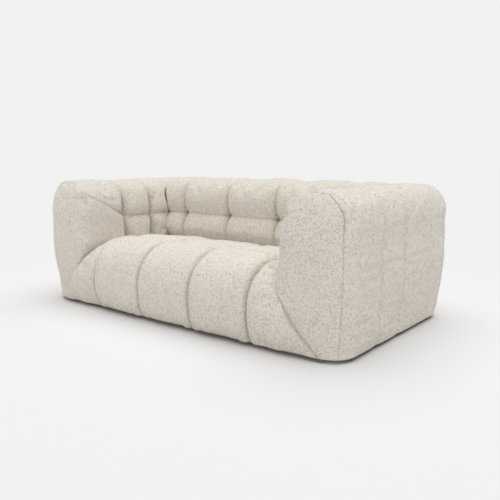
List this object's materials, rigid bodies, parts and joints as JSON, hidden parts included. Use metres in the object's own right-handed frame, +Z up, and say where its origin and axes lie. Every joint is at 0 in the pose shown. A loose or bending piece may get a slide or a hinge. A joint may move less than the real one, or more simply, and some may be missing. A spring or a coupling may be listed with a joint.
{
  "type": "tuxedo sofa",
  "caption": "Low tuxedo sofa with channelled, tufted boucle padding over seat, back and inner arms, for seating people side by side.",
  "frame": {"origin": "centre of the sofa's footprint on the floor, under the middle of its bounding box", "axes": "+X runs across the sofa towards the right arm as seen by someone standing in front, +Y points from the front of the seat to the back, +Z is up"},
  "size_m": [1.984, 1.13, 0.68],
  "materials": {
    "boucle_cloth": "nubby cream boucle with small grey-brown flecks",
    "dust_cloth": "matt black non-woven cloth",
    "foam": "open-cell upholstery foam",
    "felt": "dense grey needle felt",
    "webbing": "woven elastic strap",
    "steel": "zinc-plated steel",
    "foot_plastic": "moulded black plastic",
    "plywood": "plain birch plywood",
    "fibreboard": "brown hardboard",
    "solid_wood": "planed softwood"
  },
  "bodies": {
    "root": {"seat_cover": "boucle_cloth", "seat_foam": "foam", "seat_felt_pad": "felt", "seat_front_rail": "solid_wood", "seat_rear_rail": "solid_wood", "seat_side_rails": "solid_wood", "seat_centre_rail": "solid_wood", "seat_corner_blocks": "solid_wood", "seat_springs": "steel", "spring_clips": "steel", "spring_tie_wires": "steel", "dust_cover": "dust_cloth", "left_arm_cover": "boucle_cloth", "left_arm_front_panel": "boucle_cloth", "left_arm_foam": "foam", "left_arm_formers": "plywood", "left_arm_top_board": "plywood", "left_arm_base_board": "plywood", "left_arm_lower_rail": "solid_wood", "left_arm_inner_board": "fibreboard", "left_arm_outer_board": "fibreboard", "right_arm_cover": "boucle_cloth", "right_arm_front_panel": "boucle_cloth", "right_arm_foam": "foam", "right_arm_formers": "plywood", "right_arm_top_board": "plywood", "right_arm_base_board": "plywood", "right_arm_lower_rail": "solid_wood", "right_arm_inner_board": "fibreboard", "right_arm_outer_board": "fibreboard", "back_cover": "boucle_cloth", "back_foam": "foam", "back_formers": "plywood", "back_top_board": "plywood", "back_base_board": "plywood", "back_lower_rail": "solid_wood", "back_webbing": "webbing", "back_outer_board": "fibreboard", "arm_bolts": "steel", "back_bolts": "steel", "bolt_washers": "steel", "tee_nuts": "steel", "feet": "foot_plastic", "foot_pads": "felt", "foot_screws": "steel"}
  },
  "joints": []
}
